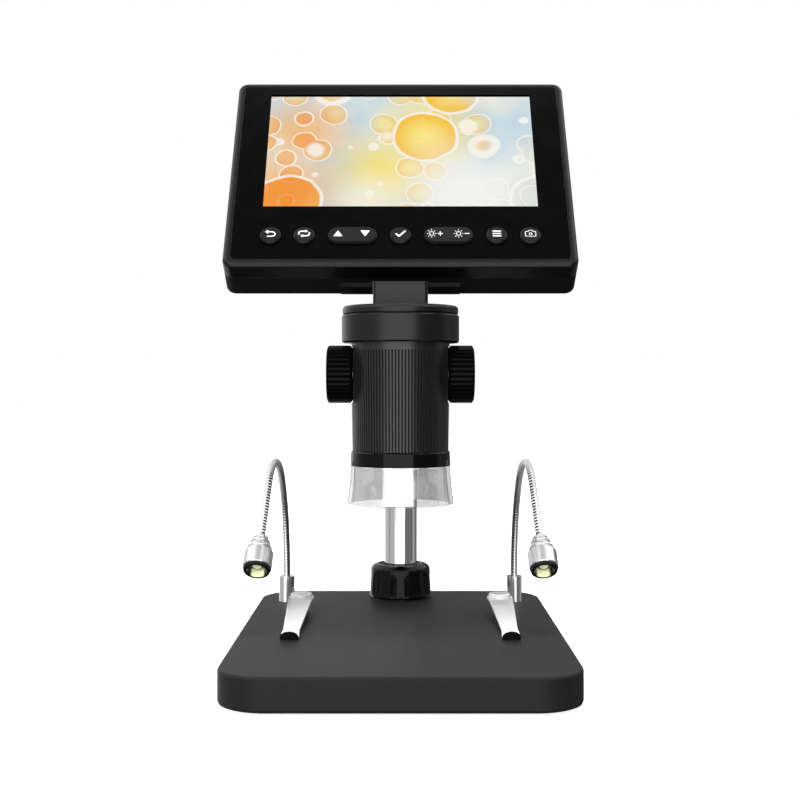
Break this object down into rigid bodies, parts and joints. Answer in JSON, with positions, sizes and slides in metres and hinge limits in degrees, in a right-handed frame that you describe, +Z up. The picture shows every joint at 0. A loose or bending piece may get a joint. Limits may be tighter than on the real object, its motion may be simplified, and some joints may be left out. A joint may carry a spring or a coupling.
{
  "type": "lcd digital microscope",
  "caption": "Desktop microscope with a tilting screen on a focusing tube, held by an arm on a chromed post over a weighted base with gooseneck lamps and stage clips.",
  "frame": {"origin": "centre of the outer width and depth on the floor, under the rubber feet", "axes": "+Z up along the post, +Y from the front edge of the base to the rear, +X to the right as seen by the user facing the screen"},
  "size_m": [0.1196, 0.157, 0.2074],
  "materials": {
    "base_grey": "satin dark grey",
    "rubber": "matte",
    "ballast": "blackened",
    "zinc_screw": "satin",
    "board": "solder mask",
    "chrome": "polished",
    "lamp_chrome": "polished",
    "spring_steel": "bright",
    "gloss_black": "gloss",
    "satin_black": "satin",
    "knob_black": "satin",
    "inner_black": "matte",
    "bush_grey": "satin",
    "clear_cup": "clear",
    "white_board": "white solder mask",
    "led_dome": "warm phosphor",
    "lamp_lens": "clear with a yellow cast",
    "glass": "coated",
    "shell_black": "satin gloss",
    "window": "dark gloss",
    "screen_picture": "lit picture",
    "cell": "printed film",
    "key_grey": "satin with white pictograms",
    "steel": "ground"
  },
  "bodies": {
    "base": {"base_shell": "base_grey", "base_cover": "satin_black", "ballast_plate": "ballast", "base_feet": "rubber", "base_screws": "zinc_screw", "lamp_board": "board", "power_inlet": "steel", "post": "chrome", "post_plug": "gloss_black", "post_socket": "steel", "lamp_sockets": "lamp_chrome", "clip_posts": "steel", "clip_caps": "spring_steel"},
    "nut": {"post_nut": "gloss_black"},
    "lamp_stem_l": {"lamp_stem_left": "lamp_chrome"},
    "lamp_arm_l": {"lamp_neck_left": "lamp_chrome", "lamp_head_left": "lamp_chrome", "lamp_bezel_left": "gloss_black", "lamp_lens_left": "lamp_lens", "lamp_led_left": "led_dome"},
    "lamp_stem_r": {"lamp_stem_right": "lamp_chrome"},
    "lamp_arm_r": {"lamp_neck_right": "lamp_chrome", "lamp_head_right": "lamp_chrome", "lamp_bezel_right": "gloss_black", "lamp_lens_right": "lamp_lens", "lamp_led_right": "led_dome"},
    "clip_l": {"clip_spring_left": "spring_steel"},
    "clip_r": {"clip_spring_right": "spring_steel"},
    "slider": {"slider_bush": "bush_grey"},
    "arm": {"bracket": "satin_black"},
    "lock": {"lock_knob": "knob_black"},
    "head": {"barrel": "satin_black", "top_cap": "satin_black", "hinge_neck": "satin_black", "nose_ring": "gloss_black", "diffuser_cup": "clear_cup", "led_board": "white_board", "led_chips": "led_dome", "sensor_board": "board"},
    "focus": {"focus_shaft": "steel", "focus_knob_left": "knob_black", "focus_knob_right": "knob_black"},
    "lens": {"lens_carrier": "inner_black", "objective_lens": "glass"},
    "display": {"front_bezel": "shell_black", "screen_window": "window", "lcd_panel": "screen_picture", "main_board": "board", "battery": "cell", "rear_cover": "shell_black", "housing_screws": "zinc_screw", "hinge_pin": "steel"},
    "key_back": {"key_back": "key_grey"},
    "key_switch": {"key_switch": "key_grey"},
    "key_updown": {"key_updown": "key_grey"},
    "key_ok": {"key_ok": "key_grey"},
    "key_light": {"key_light": "key_grey"},
    "key_menu": {"key_menu": "key_grey"},
    "key_camera": {"key_camera": "key_grey"}
  },
  "joints": [
    {"name": "nut_turn", "type": "hinge", "parent": "base", "child": "nut", "pos_m": [0, 0.0635, 0], "axis": [0, 0, 1], "range_deg": [0, 180]},
    {"name": "height_slide", "type": "slide", "parent": "base", "child": "slider", "axis": [0, 0, 1], "range_m": [-0.022, 0.008]},
    {"name": "arm_swing", "type": "hinge", "parent": "slider", "child": "arm", "pos_m": [0, 0.0635, 0], "axis": [0, 0, 1], "range_deg": [-15, 15]},
    {"name": "lock_turn", "type": "hinge", "parent": "arm", "child": "lock", "pos_m": [0, 0.0635, 0.1], "axis": [1, 0, 0], "range_deg": [0, 180]},
    {"name": "tube_turn", "type": "hinge", "parent": "arm", "child": "head", "pos_m": [0, -0.0055, 0], "axis": [0, 0, 1], "range_deg": [-30, 30]},
    {"name": "focus_turn", "type": "hinge", "parent": "head", "child": "focus", "pos_m": [0, -0.0055, 0.0995], "axis": [1, 0, 0], "range_deg": [-88, 88]},
    {"name": "lens_focus", "type": "slide", "parent": "head", "child": "lens", "axis": [0, 0, 1], "range_m": [-0.0062, 0.0062]},
    {"name": "screen_tilt", "type": "hinge", "parent": "head", "child": "display", "pos_m": [0, -0.0055, 0.1332], "axis": [1, 0, 0], "range_deg": [-25, 20]},
    {"name": "lamp_turn_left", "type": "hinge", "parent": "base", "child": "lamp_stem_l", "pos_m": [-0.0441, 0.0535, 0], "axis": [0, 0, 1], "range_deg": [-30, 12]},
    {"name": "lamp_bend_left", "type": "hinge", "parent": "lamp_stem_l", "child": "lamp_arm_l", "pos_m": [-0.04577, 0.02365, 0.0676], "axis": [-0.9984, 0.0558, 0], "range_deg": [-12, 25]},
    {"name": "lamp_turn_right", "type": "hinge", "parent": "base", "child": "lamp_stem_r", "pos_m": [0.0441, 0.0535, 0], "axis": [0, 0, 1], "range_deg": [-12, 30]},
    {"name": "lamp_bend_right", "type": "hinge", "parent": "lamp_stem_r", "child": "lamp_arm_r", "pos_m": [0.04577, 0.02365, 0.0676], "axis": [-0.9984, -0.0558, 0], "range_deg": [-12, 25]},
    {"name": "clip_swing_left", "type": "hinge", "parent": "base", "child": "clip_l", "pos_m": [-0.0366, 0.0295, 0], "axis": [0, 0, 1], "range_deg": [-12, 30]},
    {"name": "clip_swing_right", "type": "hinge", "parent": "base", "child": "clip_r", "pos_m": [0.0366, 0.0295, 0], "axis": [0, 0, 1], "range_deg": [-30, 12]},
    {"name": "back_press", "type": "slide", "parent": "display", "child": "key_back", "axis": [0, 0.8261, -0.5635], "range_m": [0, 0.0005], "stiffness_N_per_m": 400, "springref_m": -0.0005},
    {"name": "switch_press", "type": "slide", "parent": "display", "child": "key_switch", "axis": [0, 0.8261, -0.5635], "range_m": [0, 0.0005], "stiffness_N_per_m": 400, "springref_m": -0.0005},
    {"name": "ok_press", "type": "slide", "parent": "display", "child": "key_ok", "axis": [0, 0.8261, -0.5635], "range_m": [0, 0.0005], "stiffness_N_per_m": 400, "springref_m": -0.0005},
    {"name": "menu_press", "type": "slide", "parent": "display", "child": "key_menu", "axis": [0, 0.8261, -0.5635], "range_m": [0, 0.0005], "stiffness_N_per_m": 400, "springref_m": -0.0005},
    {"name": "camera_press", "type": "slide", "parent": "display", "child": "key_camera", "axis": [0, 0.8261, -0.5635], "range_m": [0, 0.0005], "stiffness_N_per_m": 400, "springref_m": -0.0005},
    {"name": "updown_rock", "type": "hinge", "parent": "display", "child": "key_updown", "pos_m": [-0.01625, -0.01042, 0.14551], "axis": [0, 0.5635, 0.8261], "range_deg": [-3, 3], "stiffness_Nm_per_rad": 0.05},
    {"name": "light_rock", "type": "hinge", "parent": "display", "child": "key_light", "pos_m": [0.01625, -0.01042, 0.14551], "axis": [0, 0.5635, 0.8261], "range_deg": [-3, 3], "stiffness_Nm_per_rad": 0.05}
  ],
  "couplings": [
    {"joint": "lens_focus", "follows": "focus_turn", "m_per_rad": 0.004}
  ]
}
